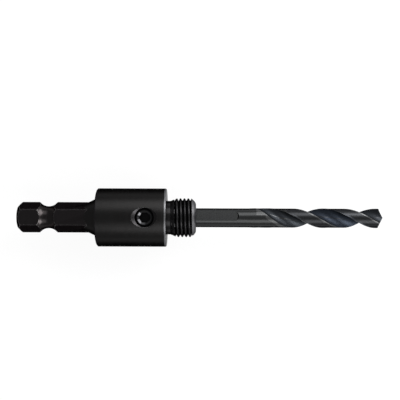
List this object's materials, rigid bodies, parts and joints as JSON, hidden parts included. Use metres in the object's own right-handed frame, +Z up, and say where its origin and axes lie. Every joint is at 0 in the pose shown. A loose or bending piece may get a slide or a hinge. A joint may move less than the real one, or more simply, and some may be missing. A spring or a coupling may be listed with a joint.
{
  "type": "hole saw arbor",
  "caption": "Hole saw arbor with a hex shank, a collar with a clamping set screw, a threaded nose for small hole saws and a pilot drill.",
  "frame": {"origin": "on the arbor's axis, in the collar's front face, where the saw's back plate seats", "axes": "+X along the axis towards the drill's tip, +Z up through the set screw, as the arbor lies on its collar"},
  "size_m": [0.1189, 0.019, 0.019],
  "materials": {
    "body_steel": "black oxide, turned, satin",
    "screw_steel": "black oxide alloy steel",
    "drill_steel": "black oxide high speed steel, ground, slightly blue"
  },
  "bodies": {
    "arbor": {"arbor_body": "body_steel"},
    "screw": {"set_screw": "screw_steel"},
    "drill": {"pilot_drill": "drill_steel"}
  },
  "joints": [
    {"name": "drill_slide", "type": "slide", "parent": "arbor", "child": "drill", "axis": [1, 0, 0], "range_m": [0, 0.018]},
    {"name": "screw_travel", "type": "slide", "parent": "arbor", "child": "screw", "axis": [0, 0, 1], "range_m": [0, 0.003]}
  ]
}
